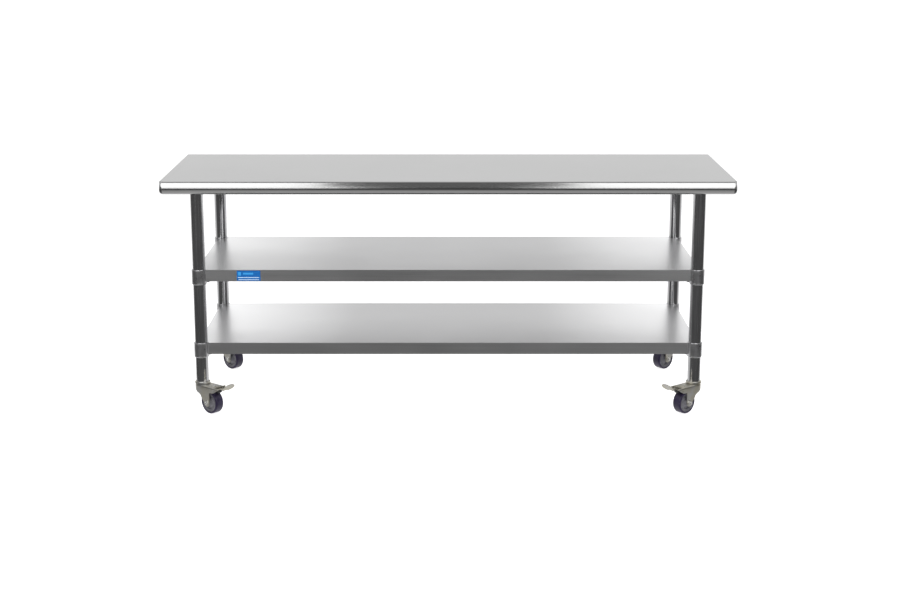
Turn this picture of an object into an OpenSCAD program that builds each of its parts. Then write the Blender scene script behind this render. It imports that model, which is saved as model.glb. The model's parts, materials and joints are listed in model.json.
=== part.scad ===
// Stainless work table on four swivel casters, with two adjustable undershelves.
// Millimetres, +Z up. The origin is on the floor under the middle of the table,
// X runs along the length and the front of the table faces -Y.

/* [Worktop] */
// Length of the worktop
top_length = 2134; // [1524:1:2438]
// Depth of the worktop over its rolled edges
top_depth = 762; // [700:1:914]
// Height of the worktop above the floor
top_height = 889; // [850:1:960]
// Radius of the rolled front and rear edges
nose_r = 24; // [20:0.5:25]
// Rounding at the ends of the rolled edges
nose_end_r = 12; // [6:1:16]
// Depth of the turned-down ends
end_flange = 38; // [25:1:40]
// Thickness of the stainless sheet
sheet = 1.2; // [1:0.1:1.5]

/* [Legs] */
// Outer diameter of the leg tube
leg_d = 48; // [41:1:50]
// Wall of the leg tube
leg_wall = 1.5; // [1.2:0.1:2]
// Distance from a leg's axis to the end of the worktop
leg_inset_x = 131; // [90:1:200]
// Distance from a leg's axis to the front or rear of the worktop
leg_inset_y = 59; // [59:1:90]

/* [Shelves] */
// Height of the middle shelf's top face
middle_z = 550; // [500:1:600]
// Height of the lower shelf's top face
lower_z = 268; // [240:1:300]
// Depth of the flanges turned down around a shelf
shelf_flange = 44; // [30:1:50]
// How far a shelf's edges stand outside the leg axes
shelf_over = 10; // [4:1:14]
// Outer diameter of the corner collars
collar_d = 56; // [54:1:60]
// Height of the corner collars
collar_h = 57; // [45:1:60]

/* [Casters] */
// Wheel diameter
wheel_d = 89; // [80:1:92]
// Width of the wheel's tread
wheel_w = 36; // [30:1:38]
// Offset of the axle from the swivel axis
trail = 52; // [48:1:56]
// Turn of each wheel away from the table's length, towards the front
caster_yaw = 41; // [0:1:90]
// Height of the underside of a leg above the floor
leg_foot_z = 118; // [116:1:122]
// Balls in each swivel race
ball_count = 12; // [8:1:16]

/* [Hidden] */
$fn = 64;

// Gap between faces that rest on each other, radial play of a sliding or turning fit,
// and the gap between curved faces that are welded or pressed together
rest_gap = 0.05;
play = 0.05;
weld_gap = 0.3;
// Reach of a cutting tool past the solid that it cuts
past = 1;

// Corners in the order front left, front right, rear left, rear right
FL = [-1, -1];
FR = [1, -1];
RL = [-1, 1];
RR = [1, 1];
CORNERS = [FL, FR, RL, RR];

leg_x = top_length / 2 - leg_inset_x;
leg_y = top_depth / 2 - leg_inset_y;
leg_r = leg_d / 2;
collar_r = collar_d / 2;
wheel_r = wheel_d / 2;

// Worktop and its underframe
nose_y = top_depth / 2 - nose_r;
nose_z = top_height - nose_r;
nose_lip = 8;
end_return = 10;
channel_drop = 22;
channel_wall = 1.5;
channel_crown = 84;
channel_wing = 20;
channel_top_z = top_height - sheet - rest_gap;
channel_low_z = channel_top_z - channel_drop;
cross_length = 2 * leg_y + 56;
long_length = 2 * (leg_x - channel_crown / 2 - channel_wing - 2);
socket_r = 30;
socket_h = 22;
socket_plate = 78;
socket_plate_t = 3;
socket_top_z = channel_low_z - rest_gap;
socket_screw_z = socket_top_z - 13;
leg_top_z = socket_top_z - rest_gap;

// Set screws: a hollow-headed stud that stands a little out of its casting
screw_r = 4;
screw_tip = leg_r + 0.1;
socket_screw_l = 11;
collar_screw_l = 24;
hex_key_r = 2.3;
hex_key_depth = 4;

// Shelves
shelf_x = leg_x + shelf_over;
shelf_y = leg_y + shelf_over;
shelf_hem = 10;
notch_r = collar_r + weld_gap;
collar_rise = 1;
collar_chamfer = 2.5;
boss_w = 20;
boss_r = 42;
boss_drop = 3;
stiffener_crown = 70;
stiffener_wing = 15;
stiffener_drop = 20;
stiffener_length = 2 * (shelf_x - 90);
collar_screw_drop = 34;

// Caster, in its own frame: swivel axis on Z, wheel towards +X, axle along Y
cap_r = 29;
cap_t = 4;
cap_skirt = 4.4;
cap_skirt_t = 3;
pin_r = 6;
pin_head_r = 11;
pin_head_h = 6;
plug_h = 50;
stem_nut_af = 19;
stem_nut_h = 8;
ball_r = 2.9;
race_r = 20;
race_h = 6;
plate_t = 3;
fork_half = 28;
crown_z = leg_foot_z - cap_t - race_h;
crown_r = 29.5;
crown_boss_r = 14;
crown_boss_h = 8;
crown_end = 84;
crown_round_x = 62;
crown_round_r = 11;
crown_round_h = 1.2;
lug_end_x = 117;
axle_r = 5;
axle_head_af = 16;
axle_head_h = 5;
nut_h = 7;
axle_stub = 3;
fork_eye_r = 15;
hub_half = fork_half - plate_t - 0.4;
hub_rim_r = 36.5;
hub_rim_t = 5;
hub_rim_half = 16.5;
hub_web_half = 13;
hub_boss_r = 12;
tread_round = 5;

// Brake, in the caster's frame
pedal_pin_x = 88;
pedal_pin_z = 97;
pedal_pin_r = 2.5;
pedal_t = 2.5;
pedal_half = 19;
pedal_body_x = 103;
arm_half = 9;
arm_top_z = 108;
arm_end_x = 128;
paddle_x = 146;
paddle_z = 116;
paddle_half = 25;
paddle_length = 30;
paddle_end_x = 160;
paddle_end_z = 130;
tab_x = 117;
tab_z = 120;
tab_inner = 3;
tab_outer = 17;
ear_r = 5.5;
ear_t = 3;
shoe_x = 92;
shoe_t = 6;
shoe_low = 76;

// A sheet-metal hat channel along X, its wings up at z = 0
module hat_channel(length, crown, drop, wing, wall) {
    half = crown / 2;
    rotate([90, 0, 90])
        linear_extrude(height = length, center = true)
            polygon([
                [-half - wing, 0], [-half, 0], [-half, -drop + wall], [half, -drop + wall],
                [half, 0], [half + wing, 0], [half + wing, -wall], [half + wall, -wall],
                [half + wall, -drop], [-half - wall, -drop], [-half - wall, -wall],
                [-half - wing, -wall]
            ]);
}

// Outline across the worktop: flat sheet, a half-round roll at each side and its lip
module top_section() {
    difference() {
        union() {
            translate([-nose_y, top_height - 2 * nose_r]) square([2 * nose_y, 2 * nose_r]);
            for (side = [-1, 1]) translate([side * nose_y, nose_z]) circle(nose_r);
        }
        for (side = [-1, 1]) translate([side * nose_y, nose_z]) circle(nose_r - sheet);
        translate([-nose_y, top_height - 2 * nose_r + sheet])
            square([2 * nose_y, 2 * nose_r - 2 * sheet]);
        translate([-nose_y + nose_lip, top_height - 2 * nose_r - past])
            square([2 * (nose_y - nose_lip), nose_r]);
    }
}

// Rounded, closed end of a roll: a turned shell about the roll's axis, x = 0 at its root
module nose_end() {
    rotate([0, 90, 0])
        rotate_extrude()
            difference() {
                union() {
                    square([nose_r - nose_end_r, nose_end_r]);
                    intersection() {
                        translate([nose_r - nose_end_r, 0]) circle(nose_end_r);
                        square([nose_r, nose_end_r]);
                    }
                }
                translate([0, -past]) square([nose_r - nose_end_r, nose_end_r - sheet + past]);
                intersection() {
                    translate([nose_r - nose_end_r, 0]) circle(nose_end_r - sheet);
                    translate([0, -past]) square([nose_r, nose_end_r + past]);
                }
            }
}

module tabletop() {
    body_length = top_length - 2 * nose_end_r;
    color("lightgray") union() {
        rotate([90, 0, 90])
            linear_extrude(height = body_length, center = true) top_section();
        translate([-top_length / 2, -nose_y, top_height - sheet])
            cube([top_length, 2 * nose_y, sheet]);
        for (end = [-1, 1]) {
            // Turned-down end with its return
            translate([end * (top_length - sheet) / 2, 0, top_height - end_flange / 2])
                cube([sheet, 2 * nose_y, end_flange], center = true);
            translate([end * (top_length - end_return) / 2, 0, top_height - end_flange + sheet / 2])
                cube([end_return, 2 * nose_y, sheet], center = true);
            for (side = [-1, 1])
                intersection() {
                    translate([end * body_length / 2, side * nose_y, nose_z])
                        mirror([end < 0 ? 1 : 0, 0, 0]) nose_end();
                    translate([end * top_length / 2, side * (nose_y + nose_r), nose_z])
                        cube([4 * nose_end_r, 2 * nose_r, 4 * nose_r], center = true);
                }
        }
    }
}

module long_channel() {
    color("silver") translate([0, 0, channel_top_z])
        hat_channel(long_length, channel_crown, channel_drop, channel_wing, channel_wall);
}

module cross_channel(side) {
    color("silver") translate([side * leg_x, 0, channel_top_z]) rotate([0, 0, 90])
        hat_channel(cross_length, channel_crown, channel_drop, channel_wing, channel_wall);
}

// Socket that takes a leg's top, on a plate under the cross channel
module socket(corner) {
    color("silver") translate([corner[0] * leg_x, corner[1] * leg_y, 0])
        difference() {
            union() {
                translate([0, 0, socket_top_z - socket_h]) cylinder(r = socket_r, h = socket_h);
                translate([0, 0, socket_top_z - socket_plate_t / 2])
                    cube([socket_plate, 2 * (socket_r - 3), socket_plate_t], center = true);
            }
            translate([0, 0, socket_top_z - socket_h - past])
                cylinder(r = leg_r + play, h = socket_h + 2 * past);
            translate([0, 0, socket_screw_z]) rotate([0, -corner[0] * 90, 0])
                cylinder(r = screw_r, h = socket_r + past);
        }
}

// Set screw along +Z, its tip at z = 0 and a hexagon socket in its head
module set_screw(length) {
    difference() {
        cylinder(r = screw_r - play, h = length);
        translate([0, 0, length - hex_key_depth]) cylinder(r = hex_key_r, h = hex_key_depth + past, $fn = 6);
    }
}

module socket_screws() {
    color("dimgray") for (corner = CORNERS)
        translate([corner[0] * (leg_x - screw_tip), corner[1] * leg_y, socket_screw_z])
            rotate([0, -corner[0] * 90, 0]) set_screw(socket_screw_l);
}

module leg(corner) {
    color("gray") translate([corner[0] * leg_x, corner[1] * leg_y, leg_foot_z + rest_gap])
        difference() {
            cylinder(r = leg_r, h = leg_top_z - leg_foot_z - rest_gap);
            translate([0, 0, -past])
                cylinder(r = leg_r - leg_wall, h = leg_top_z - leg_foot_z + 2 * past);
        }
}

// Shelf deck with flanges and hems turned down around it, notched around the collars
module shelf(deck_z) {
    inner_x = shelf_x - sheet;
    inner_y = shelf_y - sheet;
    color("gainsboro") translate([0, 0, deck_z])
        difference() {
            translate([-shelf_x, -shelf_y, -shelf_flange])
                cube([2 * shelf_x, 2 * shelf_y, shelf_flange]);
            translate([-inner_x, -inner_y, -shelf_flange + sheet])
                cube([2 * inner_x, 2 * inner_y, shelf_flange - 2 * sheet]);
            translate([-shelf_x + shelf_hem, -shelf_y + shelf_hem, -shelf_flange - past])
                cube([2 * (shelf_x - shelf_hem), 2 * (shelf_y - shelf_hem), 2 * past + sheet]);
            for (corner = CORNERS)
                translate([corner[0] * leg_x, corner[1] * leg_y, -shelf_flange - past])
                    cylinder(r = notch_r, h = shelf_flange + 2 * past);
            for (corner = CORNERS)
                translate([corner[0] * (leg_x + shelf_over), corner[1] * (leg_y + shelf_over), -shelf_flange / 2])
                    cube([2 * shelf_over + 20, 2 * shelf_over + 20, shelf_flange + 2 * past], center = true);
        }
}

module stiffener(deck_z) {
    color("silver") translate([0, 0, deck_z - sheet - rest_gap])
        hat_channel(stiffener_length, stiffener_crown, stiffener_drop, stiffener_wing, channel_wall);
}

// Cast corner: a ring around the leg with a screw boss towards the middle of the shelf
module collar(corner, deck_z) {
    inward = atan2(-corner[1], -corner[0]);
    boss_top = -sheet - rest_gap;
    boss_low = collar_rise - collar_h + boss_drop;
    color("darkgray") translate([corner[0] * leg_x, corner[1] * leg_y, deck_z])
        difference() {
            union() {
                translate([0, 0, collar_rise - collar_h]) {
                    cylinder(r1 = collar_r - collar_chamfer, r2 = collar_r, h = collar_chamfer);
                    translate([0, 0, collar_chamfer])
                        cylinder(r = collar_r, h = collar_h - collar_chamfer);
                }
                rotate([0, 0, inward]) translate([0, -boss_w / 2, boss_low])
                    cube([boss_r, boss_w, boss_top - boss_low]);
            }
            translate([0, 0, collar_rise - collar_h - past])
                cylinder(r = leg_r + play, h = collar_h + 2 * past);
            translate([0, 0, -collar_screw_drop]) rotate([0, 0, inward]) rotate([0, 90, 0])
                cylinder(r = screw_r, h = boss_r + past);
        }
}

module collar_screws(deck_z) {
    color("dimgray") for (corner = CORNERS)
        translate([corner[0] * leg_x, corner[1] * leg_y, deck_z - collar_screw_drop])
            rotate([0, 0, atan2(-corner[1], -corner[0])]) translate([screw_tip, 0, 0])
                rotate([0, 90, 0]) set_screw(collar_screw_l);
}

// Puts a caster-frame piece under the leg at a corner
module at_corner(corner) {
    turn = corner[0] < 0 ? -caster_yaw : 180 + caster_yaw;
    translate([corner[0] * leg_x, corner[1] * leg_y, 0]) rotate([0, 0, turn]) children();
}

module at_axle() {
    translate([trail, 0, wheel_r]) rotate([-90, 0, 0]) children();
}

module cap(corner) {
    color("silver") at_corner(corner)
        difference() {
            union() {
                translate([0, 0, leg_foot_z - cap_t]) cylinder(r = cap_r, h = cap_t);
                translate([0, 0, leg_foot_z - cap_t - cap_skirt]) cylinder(r = cap_r, h = cap_skirt);
            }
            translate([0, 0, leg_foot_z - cap_t - cap_skirt - past])
                cylinder(r = cap_r - cap_skirt_t, h = cap_skirt + past);
            translate([0, 0, leg_foot_z - cap_t - past]) cylinder(r = pin_r + play, h = cap_t + 2 * past);
        }
}

module leg_plugs() {
    color("dimgray") for (corner = CORNERS) at_corner(corner)
        translate([0, 0, leg_foot_z + rest_gap])
            difference() {
                cylinder(r = leg_r - leg_wall - play, h = plug_h);
                translate([0, 0, -past]) cylinder(r = pin_r + play, h = plug_h + 2 * past);
            }
}

module kingpins() {
    low = crown_z - crown_boss_h - pin_head_h - 2 * rest_gap;
    color("silver") for (corner = CORNERS) at_corner(corner) {
        translate([0, 0, low]) cylinder(r = pin_head_r, h = pin_head_h);
        translate([0, 0, low]) cylinder(r = pin_r, h = leg_foot_z + plug_h + stem_nut_h + 4 - low);
    }
}

module stem_nuts() {
    color("silver") for (corner = CORNERS) at_corner(corner)
        translate([0, 0, leg_foot_z + plug_h + 2 * rest_gap])
            difference() {
                cylinder(d = stem_nut_af / cos(30), h = stem_nut_h, $fn = 6);
                translate([0, 0, -past]) cylinder(r = pin_r + play, h = stem_nut_h + 2 * past);
            }
}

module swivel_balls() {
    color("silver") for (corner = CORNERS) at_corner(corner)
        for (i = [0 : ball_count - 1]) rotate([0, 0, i * 360 / ball_count])
            translate([race_r, 0, leg_foot_z - cap_t - race_h / 2]) sphere(r = ball_r);
}

// Side view of the fork, x along the trail and y up
module fork_side() {
    union() {
        polygon([
            [-crown_r, crown_z], [-crown_r, crown_z - 17], [-20, crown_z - 20], [16, 71], [24, 56],
            [trail - fork_eye_r, wheel_r], [trail, wheel_r], [trail + fork_eye_r, wheel_r + 2],
            [63, 86], [76, 86], [86, 87], [98, 93], [lug_end_x - 3, crown_z - 5], [lug_end_x, crown_z]
        ]);
        translate([trail, wheel_r]) circle(fork_eye_r);
    }
}

// Plan of the fork's wall: two cheeks joined by a half round at the leading end
module fork_plan() {
    inner = fork_half - plate_t;
    difference() {
        union() {
            circle(fork_half);
            translate([0, -fork_half]) square([lug_end_x, 2 * fork_half]);
        }
        circle(inner);
        translate([0, -inner]) square([lug_end_x + past, 2 * inner]);
    }
}

module fork(corner) {
    color("silver") at_corner(corner)
        difference() {
            union() {
                intersection() {
                    rotate([90, 0, 0])
                        linear_extrude(height = 2 * fork_half + 2, center = true) fork_side();
                    linear_extrude(height = crown_z) fork_plan();
                }
                translate([0, 0, crown_z - plate_t]) cylinder(r = crown_r, h = plate_t);
                translate([0, 0, crown_z - crown_boss_h]) cylinder(r = crown_boss_r, h = crown_boss_h);
                translate([0, -fork_half, crown_z - plate_t]) cube([crown_end, 2 * fork_half, plate_t]);
                translate([crown_round_x, 0, crown_z - plate_t])
                    cylinder(r = crown_round_r, h = plate_t + crown_round_h);
            }
            translate([0, 0, crown_z - crown_boss_h - past])
                cylinder(r = pin_r + play, h = crown_boss_h + 2 * past);
            at_axle() cylinder(r = axle_r + play, h = 4 * fork_half, center = true);
            translate([pedal_pin_x, 0, pedal_pin_z]) rotate([90, 0, 0])
                cylinder(r = pedal_pin_r + play, h = 4 * fork_half, center = true);
        }
}

module axle(corner) {
    head_y = fork_half + rest_gap;
    shank = 2 * fork_half + nut_h + axle_stub;
    color("silver") at_corner(corner) at_axle() {
        translate([0, 0, -head_y - axle_head_h])
            cylinder(d = axle_head_af / cos(30), h = axle_head_h, $fn = 6);
        translate([0, 0, -head_y]) cylinder(r = axle_r, h = shank);
    }
}

module axle_nut(corner) {
    color("silver") at_corner(corner) at_axle() translate([0, 0, fork_half + rest_gap])
        difference() {
            cylinder(d = axle_head_af / cos(30), h = nut_h, $fn = 6);
            translate([0, 0, -past]) cylinder(r = axle_r + play, h = nut_h + 2 * past);
        }
}

// Moulded wheel centre: rim, web and boss in one turned piece
module hub(corner) {
    rim_low = hub_rim_r - hub_rim_t;
    color("slategray") at_corner(corner) at_axle()
        rotate_extrude()
            polygon([
                [axle_r + play, -hub_half], [hub_boss_r, -hub_half], [hub_boss_r + 2, -hub_web_half],
                [rim_low - 1, -hub_web_half], [rim_low, -hub_rim_half], [hub_rim_r, -hub_rim_half],
                [hub_rim_r, hub_rim_half], [rim_low, hub_rim_half], [rim_low - 1, hub_web_half],
                [hub_boss_r + 2, hub_web_half], [hub_boss_r, hub_half], [axle_r + play, hub_half]
            ]);
}

// Tread with rounded shoulders
module tread(corner) {
    half = wheel_w / 2;
    flat = half - tread_round;
    color("indigo") at_corner(corner) at_axle()
        rotate_extrude()
            union() {
                translate([hub_rim_r + play, -half])
                    square([wheel_r - tread_round - hub_rim_r - play, wheel_w]);
                translate([wheel_r - tread_round, -flat]) square([tread_round, 2 * flat]);
                for (side = [-1, 1]) intersection() {
                    translate([wheel_r - tread_round, side * flat]) circle(tread_round);
                    translate([wheel_r - tread_round, -half]) square([tread_round, wheel_w]);
                }
            }
}

// Brake pedal from the side: a bent plate with the shoe that faces the tread
module pedal_side() {
    low = pedal_pin_z + 1;
    arm_z = arm_top_z - pedal_t;
    polygon([
        [pedal_pin_x - 4, low], [shoe_x, low], [shoe_x, low - 14], [shoe_x - 3.5, shoe_low],
        [shoe_x + 1, shoe_low - 2], [shoe_x + shoe_t, low - 14], [shoe_x + shoe_t, low - 1],
        [pedal_body_x + 4, arm_z], [arm_end_x + 1, arm_z], [arm_end_x + 8, arm_z + 3],
        [paddle_end_x - 7, paddle_end_z - 7], [paddle_end_x + 1.5, paddle_end_z - 1.5],
        [paddle_end_x, paddle_end_z], [paddle_end_x - 9, paddle_end_z - 5],
        [arm_end_x + 6, arm_top_z + 2.5], [arm_end_x, arm_top_z], [pedal_body_x + 3, arm_top_z],
        [shoe_x + 1, low + pedal_t], [pedal_pin_x - 4, low + pedal_t]
    ]);
}

// Brake pedal from above: a body that narrows to an arm, and an oval paddle
module pedal_plan() {
    polygon([
        [pedal_pin_x - 5, -pedal_half], [pedal_body_x - 4, -pedal_half], [pedal_body_x + 7, -arm_half],
        [paddle_x, -arm_half], [paddle_x, arm_half], [pedal_body_x + 7, arm_half],
        [pedal_body_x - 4, pedal_half], [pedal_pin_x - 5, pedal_half]
    ]);
    for (side = [-1, 1]) translate([paddle_x, side * (paddle_half - paddle_length / 2)])
        circle(d = paddle_length);
    translate([paddle_x - paddle_length / 2, -paddle_half + paddle_length / 2])
        square([paddle_length, 2 * paddle_half - paddle_length]);
}

// Release tab from the side: a tongue that rises from the pedal's body beside the arm
module release_tab_side() {
    low = pedal_pin_z + 1;
    polygon([
        [pedal_pin_x - 2, low], [shoe_x + 4, low], [tab_x - 14, tab_z - 8], [tab_x, tab_z - pedal_t],
        [tab_x - 0.5, tab_z], [tab_x - 15, tab_z - 5.5], [pedal_pin_x, low + pedal_t + 1]
    ]);
}

module pedal(corner) {
    color("silver") at_corner(corner)
        difference() {
            union() {
                intersection() {
                    rotate([90, 0, 0])
                        linear_extrude(height = 2 * paddle_half + 2 * past, center = true) pedal_side();
                    linear_extrude(height = paddle_end_z + past) pedal_plan();
                }
                translate([0, tab_outer, 0]) rotate([90, 0, 0])
                    linear_extrude(height = tab_outer - tab_inner) release_tab_side();
                for (side = [-1, 1])
                    translate([pedal_pin_x, side * (pedal_half - ear_t / 2), pedal_pin_z])
                        rotate([90, 0, 0]) cylinder(r = ear_r, h = ear_t, center = true);
            }
            translate([pedal_pin_x, 0, pedal_pin_z]) rotate([90, 0, 0])
                cylinder(r = pedal_pin_r + play, h = 4 * fork_half, center = true);
        }
}

module pedal_pin(corner) {
    color("dimgray") at_corner(corner)
        translate([pedal_pin_x, 0, pedal_pin_z]) rotate([90, 0, 0]) {
            cylinder(r = pedal_pin_r, h = 2 * fork_half + 1, center = true);
            for (side = [-1, 1]) translate([0, 0, side * (fork_half + 1.2)])
                cylinder(r = pedal_pin_r + 1.8, h = 2, center = true);
        }
}

tabletop();
long_channel();
cross_channel(-1);  // left_channel
cross_channel(1);  // right_channel
socket(FL);  // socket_front_left
socket(FR);  // socket_front_right
socket(RL);  // socket_rear_left
socket(RR);  // socket_rear_right
socket_screws();
leg(FL);  // leg_front_left
leg(FR);  // leg_front_right
leg(RL);  // leg_rear_left
leg(RR);  // leg_rear_right
leg_plugs();
stem_nuts();
kingpins();
swivel_balls();
cap(FL);  // cap_front_left
cap(FR);  // cap_front_right
cap(RL);  // cap_rear_left
cap(RR);  // cap_rear_right
shelf(middle_z);  // middle_shelf
stiffener(middle_z);  // middle_stiffener
collar_screws(middle_z);  // middle_screws
collar(FL, middle_z);  // middle_collar_front_left
collar(FR, middle_z);  // middle_collar_front_right
collar(RL, middle_z);  // middle_collar_rear_left
collar(RR, middle_z);  // middle_collar_rear_right
shelf(lower_z);  // lower_shelf
stiffener(lower_z);  // lower_stiffener
collar_screws(lower_z);  // lower_screws
collar(FL, lower_z);  // lower_collar_front_left
collar(FR, lower_z);  // lower_collar_front_right
collar(RL, lower_z);  // lower_collar_rear_left
collar(RR, lower_z);  // lower_collar_rear_right
fork(FL);  // fork_front_left
fork(FR);  // fork_front_right
fork(RL);  // fork_rear_left
fork(RR);  // fork_rear_right
axle(FL);  // axle_front_left
axle(FR);  // axle_front_right
axle(RL);  // axle_rear_left
axle(RR);  // axle_rear_right
axle_nut(FL);  // nut_front_left
axle_nut(FR);  // nut_front_right
axle_nut(RL);  // nut_rear_left
axle_nut(RR);  // nut_rear_right
hub(FL);  // hub_front_left
hub(FR);  // hub_front_right
hub(RL);  // hub_rear_left
hub(RR);  // hub_rear_right
tread(FL);  // tread_front_left
tread(FR);  // tread_front_right
tread(RL);  // tread_rear_left
tread(RR);  // tread_rear_right
pedal(FL);  // pedal_front_left
pedal(FR);  // pedal_front_right
pedal_pin(FL);  // pedal_pin_front_left
pedal_pin(FR);  // pedal_pin_front_right
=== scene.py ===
"""Looks of a stainless work table on casters: materials, fine pieces, lights and camera.

Lengths are metres, except in the outlines that pass through mm(), which are millimetres.
Caster pieces are built in the caster's own frame, with the swivel axis on Z, the wheel towards
+X and the axle along Y, and then placed at each corner.
"""

import json
import math

import bmesh
import bpy
from mathutils import Matrix, Vector


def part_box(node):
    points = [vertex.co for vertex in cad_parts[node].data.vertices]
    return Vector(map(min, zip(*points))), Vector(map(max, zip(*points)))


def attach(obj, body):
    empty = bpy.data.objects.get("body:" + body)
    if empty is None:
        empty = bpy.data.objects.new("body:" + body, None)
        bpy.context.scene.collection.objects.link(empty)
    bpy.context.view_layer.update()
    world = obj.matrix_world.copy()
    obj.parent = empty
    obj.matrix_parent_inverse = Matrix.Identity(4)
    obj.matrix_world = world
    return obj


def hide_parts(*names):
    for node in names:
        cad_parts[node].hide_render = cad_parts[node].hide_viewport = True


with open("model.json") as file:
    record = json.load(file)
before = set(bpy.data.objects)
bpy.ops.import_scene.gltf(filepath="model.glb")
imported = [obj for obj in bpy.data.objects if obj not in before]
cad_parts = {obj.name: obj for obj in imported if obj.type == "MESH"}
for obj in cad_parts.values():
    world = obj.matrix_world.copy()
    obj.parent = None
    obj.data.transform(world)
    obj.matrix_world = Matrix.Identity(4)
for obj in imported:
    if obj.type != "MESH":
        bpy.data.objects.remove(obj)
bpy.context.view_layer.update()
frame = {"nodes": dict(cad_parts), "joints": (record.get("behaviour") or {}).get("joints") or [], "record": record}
NODES = frame["nodes"]
JOINTS = {joint["name"]: joint for joint in frame["joints"]}
CORNERS = ("front_left", "front_right", "rear_left", "rear_right")
MM = 0.001


# ---------------------------------------------------------------- mesh helpers

def new_object(name, verts, faces, smooth=True):
    mesh = bpy.data.meshes.new(name)
    mesh.from_pydata([tuple(v) for v in verts], [], faces)
    mesh.validate()
    bm = bmesh.new()
    bm.from_mesh(mesh)
    bmesh.ops.remove_doubles(bm, verts=bm.verts, dist=1e-7)
    bmesh.ops.recalc_face_normals(bm, faces=bm.faces)
    bm.to_mesh(mesh)
    bm.free()
    for polygon in mesh.polygons:
        polygon.use_smooth = smooth
    piece = bpy.data.objects.new(name, mesh)
    bpy.context.scene.collection.objects.link(piece)
    return piece


def round_corners(points, radius=0.0, steps=5):
    """A closed outline with its corners rounded, by radius or by a point's own third value."""
    result = []
    count = len(points)
    for i, point in enumerate(points):
        corner = Vector(point[:2])
        before = Vector(points[i - 1][:2]) - corner
        after = Vector(points[(i + 1) % count][:2]) - corner
        cut = radius if len(point) < 3 else point[2]
        cut = min(cut, 0.45 * before.length, 0.45 * after.length)
        if cut <= 0:
            result.append(corner)
            continue
        start = corner + before.normalized() * cut
        end = corner + after.normalized() * cut
        for k in range(steps + 1):
            t = k / steps
            result.append((1 - t) ** 2 * start + 2 * t * (1 - t) * corner + t * t * end)
    return result


def lathe(name, outline, steps=96):
    """A closed (radius, height) outline turned about Z."""
    verts, faces = [], []
    count = len(outline)
    for i in range(steps):
        angle = 2 * math.pi * i / steps
        for r, z in outline:
            verts.append((r * math.cos(angle), r * math.sin(angle), z))
    for i in range(steps):
        j = (i + 1) % steps
        for k in range(count):
            m = (k + 1) % count
            faces.append((i * count + k, j * count + k, j * count + m, i * count + m))
    return new_object(name, verts, faces)


def slab(name, outline, low, high):
    """A closed (x, y) outline raised from low to high along Z."""
    count = len(outline)
    verts = [(x, y, low) for x, y in outline] + [(x, y, high) for x, y in outline]
    faces = [tuple(range(count)), tuple(range(count, 2 * count))]
    for i in range(count):
        j = (i + 1) % count
        faces.append((i, j, count + j, count + i))
    return new_object(name, verts, faces, smooth=False)


def bevel(piece, width, segments=3, angle=35):
    modifier = piece.modifiers.new("edge_rounding", "BEVEL")
    modifier.width = width
    modifier.segments = segments
    modifier.limit_method = "ANGLE"
    modifier.angle_limit = math.radians(angle)
    modifier.harden_normals = True
    return piece


def join(name, pieces):
    """One object from several closed shells that touch or overlap."""
    bpy.ops.object.select_all(action="DESELECT")
    depsgraph = bpy.context.evaluated_depsgraph_get()
    for piece in pieces:
        evaluated = piece.evaluated_get(depsgraph)
        baked = bpy.data.meshes.new_from_object(evaluated)
        baked.transform(piece.matrix_world)
        piece.modifiers.clear()
        piece.data = baked
        piece.matrix_world = Matrix.Identity(4)
        piece.select_set(True)
    bpy.context.view_layer.objects.active = pieces[0]
    bpy.ops.object.join()
    pieces[0].name = name
    pieces[0].data.name = name
    return pieces[0]


def turn(piece, matrix):
    piece.data.transform(matrix)
    return piece


def place(piece, material, body, replaces=()):
    """Gives a finished piece its material and its body, and hides the CAD nodes that it stands for."""
    piece.data.materials.clear()
    piece.data.materials.append(material)
    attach(piece, body)
    if replaces:
        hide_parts(*replaces)
    return piece


def caster_frame(corner):
    swivel = Vector(JOINTS["swivel_" + corner]["pos_m"])
    spin = Vector(JOINTS["spin_" + corner]["pos_m"])
    x = Vector((spin.x - swivel.x, spin.y - swivel.y, 0)).normalized()
    y = Vector((0, 0, 1)).cross(x)
    return Matrix((
        (x.x, y.x, 0, swivel.x), (x.y, y.y, 0, swivel.y), (0, 0, 1, 0), (0, 0, 0, 1)
    ))


# ------------------------------------------------------------------- materials

def set_range(node, low, high, out_low, out_high):
    sockets = ("From Min", "From Max", "To Min", "To Max")
    for socket, number in zip(sockets, (low, high, out_low, out_high)):
        node.inputs[socket].default_value = number


def set_stops(node, stops):
    """Gives a colour ramp its stops, each a position and a colour."""
    elements = node.color_ramp.elements
    while len(elements) < len(stops):
        elements.new(0.5)
    for element, (at, color) in zip(elements, stops):
        element.position = at
        element.color = (*color, 1.0)


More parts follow.
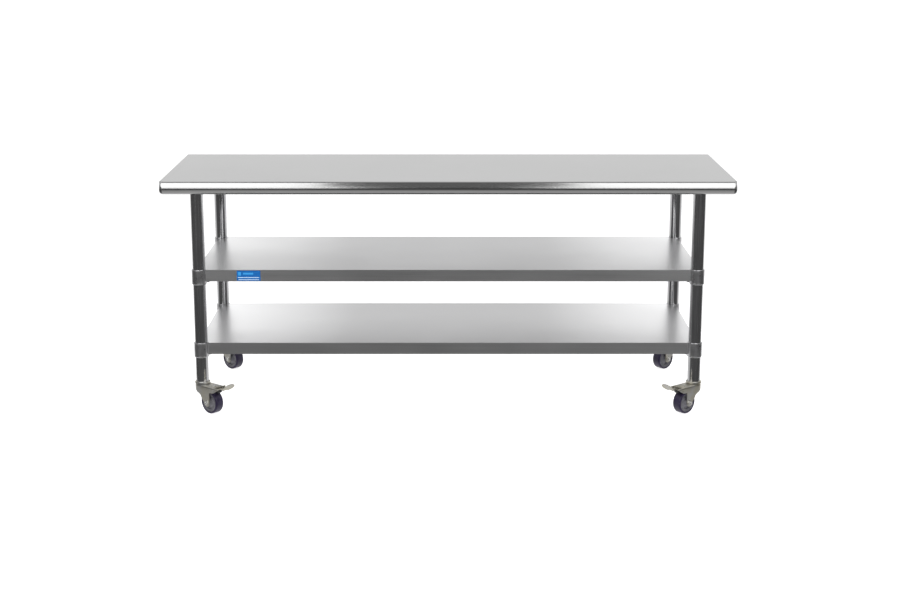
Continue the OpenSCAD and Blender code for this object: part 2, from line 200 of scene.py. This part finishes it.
class Shader:
    """A Principled material and short calls that add nodes to it."""

    def __init__(self, name, color, metallic, rough):
        self.material = bpy.data.materials.new(name)
        self.material.use_nodes = True
        self.tree = self.material.node_tree
        self.bsdf = self.tree.nodes["Principled BSDF"]
        self.set("Base Color", (*color, 1.0))
        self.set("Metallic", metallic)
        self.set("Roughness", rough)
        self.where = self.add("ShaderNodeTexCoord").outputs["Object"]

    def set(self, socket, value):
        self.bsdf.inputs[socket].default_value = value

    def add(self, kind, **settings):
        node = self.tree.nodes.new(kind)
        for key, value in settings.items():
            setattr(node, key, value)
        return node

    def link(self, output, socket):
        self.tree.links.new(output, socket)

    def noise(self, scale, detail=3.0, roughness=0.5, distortion=0.0):
        """Noise over the object, scale being one number or one for each axis."""
        if not isinstance(scale, tuple):
            scale = (scale,) * 3
        mapping = self.add("ShaderNodeMapping")
        mapping.inputs["Scale"].default_value = scale
        self.link(self.where, mapping.inputs["Vector"])
        noise = self.add("ShaderNodeTexNoise")
        noise.inputs["Scale"].default_value = 1.0
        noise.inputs["Detail"].default_value = detail
        noise.inputs["Roughness"].default_value = roughness
        noise.inputs["Distortion"].default_value = distortion
        self.link(mapping.outputs["Vector"], noise.inputs["Vector"])
        return noise.outputs["Fac"]

    def span(self, value, low, high, out_low, out_high):
        node = self.add("ShaderNodeMapRange")
        set_range(node, low, high, out_low, out_high)
        self.link(value, node.inputs["Value"])
        return node.outputs["Result"]

    def math(self, operation, a, b):
        node = self.add("ShaderNodeMath", operation=operation)
        for socket, value in zip(node.inputs, (a, b)):
            if isinstance(value, (int, float)):
                socket.default_value = value
            else:
                self.link(value, socket)
        return node.outputs[0]

    def ramp(self, value, *stops):
        node = self.add("ShaderNodeValToRGB")
        set_stops(node, stops)
        self.link(value, node.inputs["Fac"])
        return node.outputs["Color"]

    def color(self, output):
        self.link(output, self.bsdf.inputs["Base Color"])

    def rough(self, output):
        self.link(output, self.bsdf.inputs["Roughness"])

    def bump(self, height, strength, distance):
        node = self.add("ShaderNodeBump")
        node.inputs["Strength"].default_value = strength
        node.inputs["Distance"].default_value = distance
        self.link(height, node.inputs["Height"])
        self.link(node.outputs["Normal"], self.bsdf.inputs["Normal"])


def scaled(color, factor):
    return tuple(min(1.0, c * factor) for c in color)


def brushed_steel(name, color, rough, grain, cloud):
    """Sheet metal with a brushed grain: grain is its noise scale along X, Y and Z.

    cloud is the scale of the slow changes in brightness.
    """
    spread = 0.06
    s = Shader(name, color, 1.0, rough)
    lines = s.noise(grain, detail=4.0, roughness=0.65)
    clouds = s.noise(cloud, detail=3.0, roughness=0.55)
    s.rough(s.math("ADD", s.span(lines, 0.25, 0.75, rough - spread, rough + spread),
                   s.span(clouds, 0.3, 0.7, -0.5 * spread, 0.5 * spread)))
    mixed = s.math("ADD", s.math("MULTIPLY", lines, 0.6), s.math("MULTIPLY", clouds, 0.4))
    s.color(s.ramp(mixed, (0.3, scaled(color, 0.93)), (0.7, scaled(color, 1.05))))
    s.bump(lines, 0.05, 0.0004)
    return s.material


def polished_tube():
    """Polished stainless tube: long faint polishing lines and slight waviness."""
    color = (0.60, 0.60, 0.61)
    s = Shader("polished_tube", color, 1.0, 0.14)
    lines = s.noise((420.0, 420.0, 4.0), detail=4.0, roughness=0.6)
    waves = s.noise((34.0, 34.0, 5.0), detail=2.0)
    specks = s.noise(160.0, detail=2.0)
    s.rough(s.math("ADD", s.span(lines, 0.3, 0.7, 0.10, 0.17),
                   s.span(specks, 0.6, 0.8, 0.0, 0.10)))
    streaks = s.math("ADD", s.math("MULTIPLY", lines, 0.7), s.math("MULTIPLY", waves, 0.3))
    s.color(s.ramp(streaks, (0.36, scaled(color, 0.70)), (0.62, scaled(color, 1.10))))
    s.bump(s.math("ADD", waves, s.math("MULTIPLY", lines, 0.12)), 0.12, 0.002)
    return s.material


def cast_metal():
    """Polished casting: fine grain, and blotches of darker and lighter tone at random."""
    color = (0.62, 0.62, 0.63)
    s = Shader("cast_metal", color, 1.0, 0.3)
    grain = s.noise(900.0, detail=3.0, roughness=0.6)
    blotch = s.noise(45.0, detail=3.0)
    s.rough(s.span(blotch, 0.3, 0.7, 0.26, 0.34))
    s.color(s.ramp(blotch, (0.25, scaled(color, 0.86)), (0.75, scaled(color, 1.06))))
    s.bump(grain, 0.02, 0.0003)
    return s.material


def zinc_plate():
    """Zinc-plated steel with a faint yellow chromate tint that varies."""
    s = Shader("zinc_plate", (0.62, 0.61, 0.56), 1.0, 0.34)
    tint = s.noise(22.0, detail=3.0, distortion=0.6)
    grain = s.noise(500.0, detail=3.0)
    scuffs = s.noise((60.0, 60.0, 240.0), detail=4.0, roughness=0.7)
    s.color(s.ramp(tint, (0.30, (0.61, 0.61, 0.60)), (0.50, (0.58, 0.56, 0.50)),
                   (0.70, (0.55, 0.52, 0.42))))
    s.rough(s.math("ADD", s.span(grain, 0.3, 0.7, 0.34, 0.45),
                   s.span(scuffs, 0.55, 0.8, 0.0, 0.16)))
    s.bump(grain, 0.08, 0.0003)
    return s.material


def dark_steel():
    s = Shader("dark_steel", (0.20, 0.20, 0.21), 1.0, 0.35)
    grain = s.noise(700.0)
    s.rough(s.span(grain, 0.3, 0.7, 0.28, 0.45))
    s.color(s.ramp(s.noise(90.0), (0.3, (0.15, 0.15, 0.16)), (0.7, (0.25, 0.25, 0.25))))
    s.bump(grain, 0.06, 0.0002)
    return s.material


def grey_nylon():
    """Moulded wheel centre: satin grey with a violet cast and a little dust."""
    s = Shader("grey_nylon", (0.18, 0.18, 0.20), 0.0, 0.42)
    dust = s.noise(70.0, detail=4.0, roughness=0.6)
    grain = s.noise(1400.0)
    s.color(s.ramp(dust, (0.30, (0.130, 0.127, 0.148)), (0.72, (0.195, 0.192, 0.208))))
    s.rough(s.span(dust, 0.3, 0.7, 0.36, 0.55))
    s.bump(grain, 0.08, 0.0003)
    return s.material


def purple_tread():
    """Polyurethane tread: dark violet, a little glossy, with faint wear and dust."""
    s = Shader("purple_tread", (0.045, 0.032, 0.085), 0.0, 0.36)
    wear = s.noise(55.0, detail=4.0, roughness=0.65)
    scratch = s.noise((260.0, 260.0, 40.0), detail=3.0)
    s.color(s.ramp(wear, (0.30, (0.010, 0.006, 0.026)), (0.60, (0.022, 0.015, 0.050)),
                   (0.80, (0.048, 0.040, 0.078))))
    s.rough(s.math("ADD", s.span(wear, 0.3, 0.7, 0.28, 0.44),
                   s.span(scratch, 0.5, 0.8, 0.0, 0.12)))
    s.bump(scratch, 0.10, 0.0004)
    s.set("Coat Weight", 0.15)
    s.set("Coat Roughness", 0.25)
    return s.material


def black_rubber():
    s = Shader("black_rubber", (0.02, 0.02, 0.02), 0.0, 0.6)
    grain = s.noise(500.0)
    s.color(s.ramp(grain, (0.3, (0.014, 0.014, 0.015)), (0.7, (0.03, 0.03, 0.03))))
    s.bump(grain, 0.15, 0.0004)
    return s.material


def steel_ball():
    s = Shader("bright_steel", (0.55, 0.55, 0.56), 1.0, 0.15)
    s.rough(s.span(s.noise(300.0), 0.3, 0.7, 0.10, 0.22))
    return s.material


def bright_bolt():
    s = Shader("bright_bolt", (0.78, 0.77, 0.75), 1.0, 0.22)
    grain = s.noise(400.0)
    s.rough(s.span(grain, 0.3, 0.7, 0.16, 0.28))
    s.color(s.ramp(s.noise(60.0), (0.3, (0.72, 0.72, 0.70)), (0.7, (0.84, 0.83, 0.80))))
    s.bump(grain, 0.06, 0.0002)
    return s.material


def printed(name, color):
    """Printed vinyl: satin, with a faint unevenness."""
    s = Shader(name, color, 0.0, 0.4)
    mottle = s.noise(220.0)
    s.color(s.ramp(mottle, (0.3, scaled(color, 0.94)), (0.7, scaled(color, 1.05))))
    s.rough(s.span(mottle, 0.3, 0.7, 0.44, 0.56))
    s.set("Specular IOR Level", 0.2)
    return s.material


TOP_STEEL = brushed_steel("brushed_top", (0.49, 0.49, 0.49), 0.19, (3.0, 900.0, 900.0), 1.2)
SHELF_STEEL = brushed_steel(
    "brushed_shelf", (0.685, 0.685, 0.69), 0.34, (3.0, 700.0, 700.0), 2.0)
CHANNEL_STEEL = brushed_steel("galvanised", (0.60, 0.61, 0.62), 0.38, (40.0, 40.0, 40.0), 9.0)
TUBE = polished_tube()
CASTING = cast_metal()
ZINC = zinc_plate()
SCREW = dark_steel()
NYLON = grey_nylon()
TREAD = purple_tread()
RUBBER = black_rubber()
BALL = steel_ball()
BOLT = bright_bolt()
BLUE = printed("label_blue", (0.0, 0.105, 0.36))
PALE_BLUE = printed("label_pale_blue", (0.03, 0.27, 0.62))
WHITE_INK = printed("label_white", (0.45, 0.60, 0.78))

FINISHES = {
    "stainless": TOP_STEEL, "galvanised": CHANNEL_STEEL, "polished_tube": TUBE,
    "casting": CASTING, "zinc": ZINC, "screw_steel": SCREW, "plug_rubber": RUBBER,
    "hub_plastic": NYLON, "tread_rubber": TREAD,
}


def dress_cad_nodes():
    """Every node carried over from the CAD model gets the finish of its material slot."""
    slots = {part["node"]: part["material_slot"] for part in frame["record"]["subparts"]}
    for name, node in NODES.items():
        finish = FINISHES[slots[name]]
        if name.endswith("_shelf"):
            finish = SHELF_STEEL
        if name == "swivel_balls":
            finish = BALL
        node.data.materials.clear()
        node.data.materials.append(finish)


# --------------------------------------------------------------- caster pieces

def out_from_swivel(joint):
    """How far one of a caster's joints is from its swivel axis, seen from above."""
    at = Vector(JOINTS[joint + "_front_left"]["pos_m"])
    return math.hypot(*(at - Vector(JOINTS["swivel_front_left"]["pos_m"]))[:2])


TRAIL = out_from_swivel("spin")
AXLE_Z = JOINTS["spin_front_left"]["pos_m"][2]
PIN_X = out_from_swivel("brake")
PIN_Z = JOINTS["brake_front_left"]["pos_m"][2]
AXLE_TURN = Matrix.Translation((TRAIL, 0, AXLE_Z)) @ Matrix.Rotation(math.radians(-90), 4, "X")

# The fork's shell, in millimetres: half its width, the height of its top, the radius of the
# fold along its upper edge, how far the top reaches in, and the radius of the axle's eye
FORK_HALF = 28.0
CROWN_Z = 108.0
FOLD = 5.0
TOP_REACH = 14.0
EYE_RADIUS = 15.0
BEND_STEPS = 32
FOLD_STEPS = 6
WALL_STEPS = 7


def mm(points):
    return [tuple(MM * value for value in point) for point in points]


def mirrored(half):
    """A lathe outline from one half of it, given from the bore outwards at negative heights."""
    return half + [(r, -z) for r, z in reversed(half)]


def rounded_lathe(name, points, steps=96):
    """A lathed piece from (radius, height, corner radius) points in millimetres."""
    return lathe(name, mm(round_corners(points)), steps)


def make_tread():
    half = [(36.6, -18), (39.6, -18)]
    for k in range(1, 9):
        angle = math.radians(-90 + 90 * k / 8)
        half.append((39.5 + 5 * math.cos(angle), -13 + 5 * math.sin(angle)))
    half += [(44.5, -6), (44.5, -2)]
    return turn(lathe("tread", mm(mirrored(half)), 128), AXLE_TURN)


def make_hub():
    half = [
        (5.1, -23.6), (10.6, -23.6), (12, -22.6), (13.4, -14.8), (15, -11.6), (24, -9.6),
        (26.4, -11.6), (28, -16), (30.2, -16.4), (30.8, -13.8), (32.4, -13.8), (32.8, -16.4),
        (36.1, -16.4), (36.5, -16),
    ]
    hub = turn(lathe("hub", mm(mirrored(half)), 128), AXLE_TURN)
    return bevel(hub, 0.35 * MM, 2, 25)


def make_cap():
    return rounded_lathe("cap", [
        (6.1, 114, 0), (24, 114, 1), (26, 112, 1), (26, 109.6, 0.4), (29, 109.6, 0.6),
        (29, 116.6, 1.2), (27, 118, 1.5), (6.1, 118, 0)])


def fork_low(x):
    """Height of the fork's lower contour at a distance x along the trail, in millimetres."""
    eye_x, eye_z = TRAIL / MM, AXLE_Z / MM
    if eye_x - EYE_RADIUS <= x <= eye_x + EYE_RADIUS - 1.2:
        return eye_z - math.sqrt(max(0.0, EYE_RADIUS ** 2 - (x - eye_x) ** 2))
    contour = [
        (-28, 91), (-20, 88), (16, 71), (24, 56), (37, 44.5), (66, 86.5), (68, 86), (78, 86),
        (86, 87), (98, 93), (110, 100.5), (114, 103.4), (117, 107)]
    for (x0, z0), (x1, z1) in zip(contour, contour[1:]):
        if x <= x1:
            return z0 + (z1 - z0) * (x - x0) / (x1 - x0)
    return contour[-1][1]


def fork_path():
    """Points around the shell in plan, each with the direction in which its top folds in."""
    cheek = [
        117, 116, 114, 110, 104, 98, 92, 86, 82, 78, 73, 69, 67, 66.2, 65.7, 65, 63, 60, 56, 52,
        48, 44, 41, 39, 37.8, 37.1, 36.5, 33, 29, 26, 24, 22, 19, 16, 12, 8, 4]
    path = [(x, -FORK_HALF, 0.0, 1.0) for x in cheek]
    for k in range(BEND_STEPS + 1):
        angle = math.radians(-90 - 180 * k / BEND_STEPS)
        x, y = math.cos(angle), math.sin(angle)
        path.append((FORK_HALF * x, FORK_HALF * y, -x, -y))
    return path + [(x, FORK_HALF, 0.0, -1.0) for x in reversed(cheek)]


def fork_section(x):
    """The shell's (inset, height) points at x, from its top's inner edge down the wall."""
    low = fork_low(x)
    reach = TOP_REACH if x < 80 else max(5.2, TOP_REACH - 0.9 * (x - 80))
    section = [(reach, CROWN_Z), (0.5 * (reach + FOLD), CROWN_Z)]
    fold = min(FOLD, CROWN_Z - low - 0.2)
    start = CROWN_Z - fold
    for k in range(FOLD_STEPS + 1):
        angle = math.radians(90 - 90 * k / FOLD_STEPS)
        section.append((fold - fold * math.cos(angle), start + fold * math.sin(angle)))
    for k in range(1, WALL_STEPS + 1):
        section.append((0.0, start + (low - start) * k / WALL_STEPS))
    return section


def make_fork():
    """A pressed steel shell: a wall that runs back along both cheeks and folds in at the top."""
    path = fork_path()
    verts, faces = [], []
    for x, y, in_x, in_y in path:
        verts += [(x + inset * in_x, y + inset * in_y, z) for inset, z in fork_section(x)]
    rows = len(verts) // len(path)
    for i in range(len(path) - 1):
        for j in range(rows - 1):
            a = i * rows + j
            faces.append((a, a + rows, a + rows + 1, a + 1))
    shell = new_object("fork", mm(verts), faces)
    solid = shell.modifiers.new("sheet", "SOLIDIFY")
    solid.thickness = 3 * MM
    solid.offset = shell_side(shell)
    bevel(shell, 0.5 * MM, 2, 50)
    rear_arc = [(20 * math.cos(math.radians(a)), 20 * math.sin(math.radians(a)))
                for a in range(90, 271, 10)]
    outline = rear_arc + round_corners([(40, -20, 0), (84, -20, 9), (84, 20, 9), (40, 20, 0)])
    plate = bevel(slab("plate", mm(outline), 105.2 * MM, 108.03 * MM), 0.8 * MM)
    boss = lathe("boss", mm([(6.2, 100), (14, 100), (14, 105.3), (6.2, 105.3)]))
    knob = rounded_lathe("knob", [
        (0.3, 107.5, 0), (11.2, 107.5, 0), (10.4, 109.2, 0.8), (6.5, 109.2, 0.6),
        (5.5, 108.6, 0.4), (0.3, 108.6, 0)])
    turn(knob, Matrix.Translation((62 * MM, 0, 0)))
    return join("fork", [shell, plate, boss, knob])


def shell_side(shell):
    """Which way Solidify has to thicken the shell so that it grows inwards."""
    centre = Vector((40 * MM, 0, 0))
    outward = 0
    for polygon in shell.data.polygons:
        if polygon.center.z < 100 * MM:
            away = polygon.center - centre
            outward += polygon.area * polygon.normal.dot(Vector((0, away.y, 0)))
    return -1 if outward > 0 else 1


def hexagon(across, low, high, name):
    radius = across / math.sqrt(3)
    points = [(radius * math.cos(math.radians(a)), radius * math.sin(math.radians(a)))
              for a in range(0, 360, 60)]
    piece = slab(name, mm(round_corners(points, 1.0)), low * MM, high * MM)
    return bevel(piece, 0.9 * MM, 3, 60)


def make_bolt():
    head = hexagon(16, -33, -29, "head")
    washer = rounded_lathe("washer", [
        (5, -29.2, 0), (9.6, -29.2, 0.4), (9.6, -28.05, 0.2), (5, -28.05, 0)])
    shank = lathe("shank", mm([(0.2, -28.2), (5, -28.2), (5, 37), (4.2, 38), (0.2, 38)]))
    dimple = rounded_lathe("dimple", [
        (0.2, -33.6, 0), (5.4, -33.6, 0.4), (6.2, -32.8, 0.3), (0.2, -32.8, 0)])
    return turn(join("bolt", [head, washer, shank, dimple]), AXLE_TURN)


def make_nut():
    nut = hexagon(16, 29, 35, "nut")
    washer = rounded_lathe("washer", [
        (5.1, 28.05, 0), (9.6, 28.05, 0.2), (9.6, 29.2, 0.4), (5.1, 29.2, 0)])
    collar = rounded_lathe("collar", [
        (5.1, 34.8, 0), (6.9, 34.8, 0), (6.6, 37, 0.8), (5.1, 37, 0)])
    return turn(join("nut", [nut, washer, collar]), AXLE_TURN)


def ribbon(name, line, columns, droop, thickness, offset_y=0.0):
    """A bent strip in millimetres: line holds (x, z, half width).

    droop lowers its edges, and less so past the paddle's neck at x = 127.
    """
    verts, faces = [], []
    for x, z, half in line:
        fall = droop * min(1.0, max(0.25, 1 - 0.07 * (x - 127)))
        for k in range(columns):
            across = -1 + 2 * k / (columns - 1)
            verts.append((x, offset_y + half * across, z - fall * across * across))
    for i in range(len(line) - 1):
        for k in range(columns - 1):
            a = i * columns + k
            faces.append((a, a + columns, a + columns + 1, a + 1))
    strip = new_object(name, mm(verts), faces)
    solid = strip.modifiers.new("sheet", "SOLIDIFY")
    solid.thickness = thickness * MM
    solid.offset = 0
    smooth = strip.modifiers.new("smooth", "SUBSURF")
    smooth.levels = smooth.render_levels = 2
    return strip


def make_pedal():
    leaf = ribbon("leaf", [
        (84, 99.3, 18.6), (88, 99.3, 18.8), (95, 99.6, 18.6), (100, 101.8, 17),
        (104, 104.8, 11.5), (108, 106.5, 9.4), (114, 106.8, 8.8), (121, 106.8, 8.8),
        (127, 105.4, 9.2), (131, 104.8, 13), (134, 105.4, 18), (138, 107.6, 24),
        (142, 111.2, 27.6), (146, 115.6, 29), (149.5, 120, 28.4), (152.4, 124.4, 25.2),
        (154.6, 128, 19.6), (156, 130.6, 12)], 9, 4.2, 2.4)
    tab = ribbon("tab", [
        (87, 100, 6.2), (92, 102.6, 6.6), (98, 108, 6.8), (104, 112, 6.8), (110, 115, 6.6),
        (115, 117.6, 5.6), (117.2, 118.9, 3.6)], 5, 0.3, 2.2, 10)
    ears = []
    for side in (-1, 1):
        ear = rounded_lathe("ear", [
            (2.6, -1.5, 0.2), (5.5, -1.5, 0.5), (5.5, 1.5, 0.5), (2.6, 1.5, 0.2)], 48)
        to_pin = Matrix.Translation((PIN_X, side * 17.4 * MM, PIN_Z))
        ears.append(turn(ear, to_pin @ Matrix.Rotation(math.radians(90), 4, "X")))
    return join("pedal", [leaf, tab] + ears)


def make_shoe():
    """The brake's rubber block, which hangs under the pedal."""
    profile = round_corners(
        [(90.6, 98.4), (90.4, 91), (92, 86.4), (96.4, 86.4), (99, 91), (99, 98.4)], 1.2)
    shoe = slab("shoe", mm(profile), -9 * MM, 9 * MM)
    turn(shoe, Matrix.Rotation(math.radians(90), 4, "X"))
    return bevel(shoe, 0.9 * MM, 2, 40)


def add_casters():
    # Name, maker, finish, body (None is the frame) and replaced node (None replaces nothing)
    jobs = [
        ("tread_", make_tread, TREAD, "wheel_", "tread_"),
        ("hub_", make_hub, NYLON, "wheel_", "hub_"),
        ("cap_", make_cap, ZINC, None, "cap_"),
        ("fork_", make_fork, ZINC, "caster_", "fork_"),
        ("bolt_", make_bolt, BOLT, "caster_", "axle_"),
        ("nut_", make_nut, BOLT, "caster_", "nut_"),
    ]
    front_jobs = [
        ("pedal_", make_pedal, ZINC, "pedal_", "pedal_"),
        ("shoe_", make_shoe, RUBBER, "pedal_", None),
    ]
    for corner in CORNERS:
        to_corner = caster_frame(corner)
        here = jobs + front_jobs if corner.startswith("front") else jobs
        for name, make, material, body, node in here:
            piece = turn(make(), to_corner)
            piece.name = "fine_" + name + corner
            place(piece, material, body + corner if body else "frame",
                  [node + corner] if node else ())


# ------------------------------------------------------- collars, legs and label

def add_collars():
    """A turned ring on each leg, with a boss that points inwards to the deck's cut corner."""
    for shelf in ("middle", "lower"):
        for corner in CORNERS:
            node = f"{shelf}_collar_{corner}"
            low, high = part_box(node)
            swivel = JOINTS["swivel_" + corner]["pos_m"]
            height = (high[2] - low[2]) / MM
            ring = rounded_lathe("ring", [
                (24.1, 0, 0.3), (25.6, 0, 0.4), (28, 2.6, 1), (28, 5.5, 0.3), (27.8, 6, 0.3),
                (27.8, height - 5, 0.3), (28.1, height - 4.4, 0.3), (28.1, height, 3.0),
                (24.1, height, 0.5)])
            outline = round_corners([(25, -10, 0), (42, -10, 3), (42, 10, 3), (25, 10, 0)])
            boss = slab("boss", mm(outline), 3 * MM, (height - 2.6) * MM)
            diagonal = math.atan2(math.copysign(1, -swivel[1]), math.copysign(1, -swivel[0]))
            turn(boss, Matrix.Rotation(diagonal, 4, "Z"))
            bevel(boss, 1.2 * MM)
            piece = join("collar", [ring, boss])
            turn(piece, Matrix.Translation((swivel[0], swivel[1], low[2])))
            piece.name = "fine_" + node
            place(piece, CASTING, shelf + "_shelf", [node])


LABEL_LEFT = -0.7935
LABEL_DROP = 0.0415


def add_label():
    """A plain blue maker's sticker, without lettering."""
    low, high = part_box("middle_shelf")
    corner = (LABEL_LEFT, low[1], high[2] - LABEL_DROP)
    # Name, ink, and in millimetres left, bottom, width, height and thickness
    parts = (
        ("label_blue", BLUE, 0, 0, 89, 39, 0.12),
        ("label_stripe", PALE_BLUE, 24, 24, 38, 7, 0.2),
        ("label_bar_long", WHITE_INK, 4, 11, 80, 2.8, 0.2),
        ("label_bar_short", WHITE_INK, 6, 3, 78, 2.4, 0.2),
        ("label_mark", PALE_BLUE, 5, 20, 11, 13, 0.2),
    )
    for name, material, x, z, width, tall, thick in parts:
        outline = round_corners(
            [(x, z), (x + width, z), (x + width, z + tall), (x, z + tall)], 1.5)
        piece = slab(name, mm(outline), 0, thick * MM)
        turn(piece, Matrix.Translation(corner) @ Matrix.Rotation(math.radians(90), 4, "X"))
        piece.name = name
        place(piece, material, "middle_shelf")


# ------------------------------------------------------------- camera and light

CAMERA_AT = (0.0, -6.525, 1.863)
CAMERA_DOWN = 12.99
# The overhead banks and the low panels in front of them: distance from the middle and sizes
BANK_X = 1.75
BANK_WIDTH = 2.3
BANK_LENGTH = 4.2
PANEL_HEIGHT = 0.86
# Brightness of the banks and of the panels, and glow of the cards and of the floor
BANK = 2.0
PANEL = 0.7 * BANK
DARK_GLOW = 0.06
INNER_GLOW = 0.86
END_GLOW = 1.6
FLOOR_GLOW = 0.85
# Upright cards at the right end: start and end in plan, bottom and top
DARK_CARD = ((1.35, -2.4), (1.35, -0.15), 0.0, 0.8)
BRIGHT_CARD = ((0.45, 0.95), (1.12, 0.95), 0.3, 0.87)
# Glow of the surroundings by height of the direction, from straight down to straight up
FRONT_GLOW = (
    (-1.0, 0.52), (-0.80, 0.52), (-0.62, 0.42), (-0.42, 0.12), (-0.20, 0.10), (0.05, 0.07),
    (0.3, 0.13), (0.8, 0.16), (1.0, 0.18))
BACK_GLOW = ((-1.0, 0.80), (0.0, 0.86), (0.40, 0.84), (0.8, 0.40), (1.0, 0.14))


def add_camera():
    """In front and a little above, with a long lens."""
    data = bpy.data.cameras.new("camera")
    data.sensor_width = 36.0
    data.lens = 67.5
    data.shift_x = 0.0021
    data.clip_end = 100.0
    camera = bpy.data.objects.new("camera", data)
    bpy.context.scene.collection.objects.link(camera)
    camera.location = CAMERA_AT
    camera.rotation_euler = (math.radians(90.0 - CAMERA_DOWN), 0.0, 0.0)
    bpy.context.scene.camera = camera


def add_softbox(name, location, target, width, height, radiance):
    """An area light whose surface is as bright as radiance, unseen by the camera itself."""
    data = bpy.data.lights.new(name, "AREA")
    data.shape = "RECTANGLE"
    data.size = width
    data.size_y = height
    data.energy = radiance * math.pi * width * height
    light = bpy.data.objects.new(name, data)
    bpy.context.scene.collection.objects.link(light)
    light.location = location
    aim = Vector(target) - Vector(location)
    light.rotation_euler = aim.to_track_quat("-Z", "Y").to_euler()
    light.visible_camera = False


def add_lights():
    """Two long banks overhead with a dark gap between them, and a low one in front of each."""
    for side, end in ((-1, "left"), (1, "right")):
        x = side * BANK_X
        add_softbox(end + "_bank", (x, -1.5, 2.45), (x, -0.5, 0.0), BANK_WIDTH, BANK_LENGTH, BANK)
        add_softbox(end + "_front", (x, -3.5, 1.26), (x, 0.0, 0.95), BANK_WIDTH, PANEL_HEIGHT,
                    PANEL)


def add_world():
    """Studio surroundings: bright behind the table and dark towards the camera."""
    world = bpy.data.worlds.new("studio")
    bpy.context.scene.world = world
    world.use_nodes = True
    tree = world.node_tree
    background = tree.nodes["Background"]
    direction = tree.nodes.new("ShaderNodeTexCoord").outputs["Generated"]
    split = tree.nodes.new("ShaderNodeSeparateXYZ")
    tree.links.new(direction, split.inputs[0])
    frontness = tree.nodes.new("ShaderNodeMapRange")
    frontness.interpolation_type = "SMOOTHSTEP"
    set_range(frontness, 0.30, -0.30, 0.0, 1.0)
    tree.links.new(split.outputs["Y"], frontness.inputs["Value"])
    height = tree.nodes.new("ShaderNodeMapRange")
    set_range(height, -1.0, 1.0, 0.0, 1.0)
    tree.links.new(split.outputs["Z"], height.inputs["Value"])
    ramps = []
    for glows in (FRONT_GLOW, BACK_GLOW):
        ramp = tree.nodes.new("ShaderNodeValToRGB")
        set_stops(ramp, [(0.5 + 0.5 * z, (glow,) * 3) for z, glow in glows])
        tree.links.new(height.outputs["Result"], ramp.inputs["Fac"])
        ramps.append(ramp)
    mix = tree.nodes.new("ShaderNodeMix")
    mix.data_type = "RGBA"
    tree.links.new(frontness.outputs["Result"], mix.inputs["Factor"])
    tree.links.new(ramps[1].outputs["Color"], mix.inputs[6])
    tree.links.new(ramps[0].outputs["Color"], mix.inputs[7])
    tree.links.new(mix.outputs[2], background.inputs["Color"])
    background.inputs["Strength"].default_value = 1.0


def glowing(name, grey, rough, strength):
    """A matt grey material that gives off white light of its own."""
    s = Shader(name, (grey,) * 3, 0.0, rough)
    s.set("Emission Color", (1.0, 1.0, 1.0, 1.0))
    s.set("Emission Strength", strength)
    return s


def add_cards():
    """A dark and a bright card at each end, which show only in reflections."""
    dark = glowing("dark_card", 0.02, 0.9, DARK_GLOW)
    bright = glowing("bright_card", 0.0, 0.9, INNER_GLOW)
    split = bright.add("ShaderNodeSeparateXYZ")
    bright.link(bright.where, split.inputs[0])
    outwards = bright.math("ABSOLUTE", split.outputs["X"], 0.0)
    bright.link(bright.span(outwards, 0.45, 1.05, INNER_GLOW, END_GLOW),
                bright.bsdf.inputs["Emission Strength"])
    cards = []
    for side in (-1, 1):
        for name, (start, end, low, high), shader in (
            ("dark_card", DARK_CARD, dark), ("bright_card", BRIGHT_CARD, bright),
        ):
            corners = ((*start, low), (*end, low), (*end, high), (*start, high))
            card = new_object(name, [(side * x, y, z) for x, y, z in corners], [(0, 1, 2, 3)])
            card.data.materials.append(shader.material)
            card.visible_camera = False
            cards.append(card)
    return cards


def add_stage():
    """A pale floor, a white surround seen only by the camera, and the cards."""
    pale = glowing("pale_floor", 0.8, 0.8, FLOOR_GLOW)
    pale.color(pale.ramp(pale.noise(0.8), (0.3, (0.79, 0.79, 0.79)), (0.7, (0.81, 0.81, 0.81))))
    half = 60.0
    corners = [(-half, -half, 0), (half, -half, 0), (half, half, 0), (-half, half, 0)]
    floor = new_object("floor", corners, [(0, 1, 2, 3)])
    floor.data.materials.append(pale.material)
    floor.visible_glossy = False

    white = glowing("surround", 0.0, 1.0, 1.0)
    white.set("Specular IOR Level", 0.0)
    surround = lathe("surround", [
        (0.1, -1.0), (50.0, -1.0), (50.0, 30.0), (0.1, 50.0), (0.1, 51.0), (51.0, 31.0),
        (51.0, -2.0), (0.1, -2.0)], 64)
    surround.data.materials.append(white.material)
    surround.visible_glossy = False
    cards = add_cards()
    for helper in [surround] + cards:
        helper.visible_diffuse = False
        helper.visible_shadow = False
        helper.visible_transmission = False


add_camera()
add_world()
add_lights()
add_stage()
bpy.context.scene.view_settings.view_transform = "Standard"

dress_cad_nodes()
add_casters()
add_collars()
add_label()
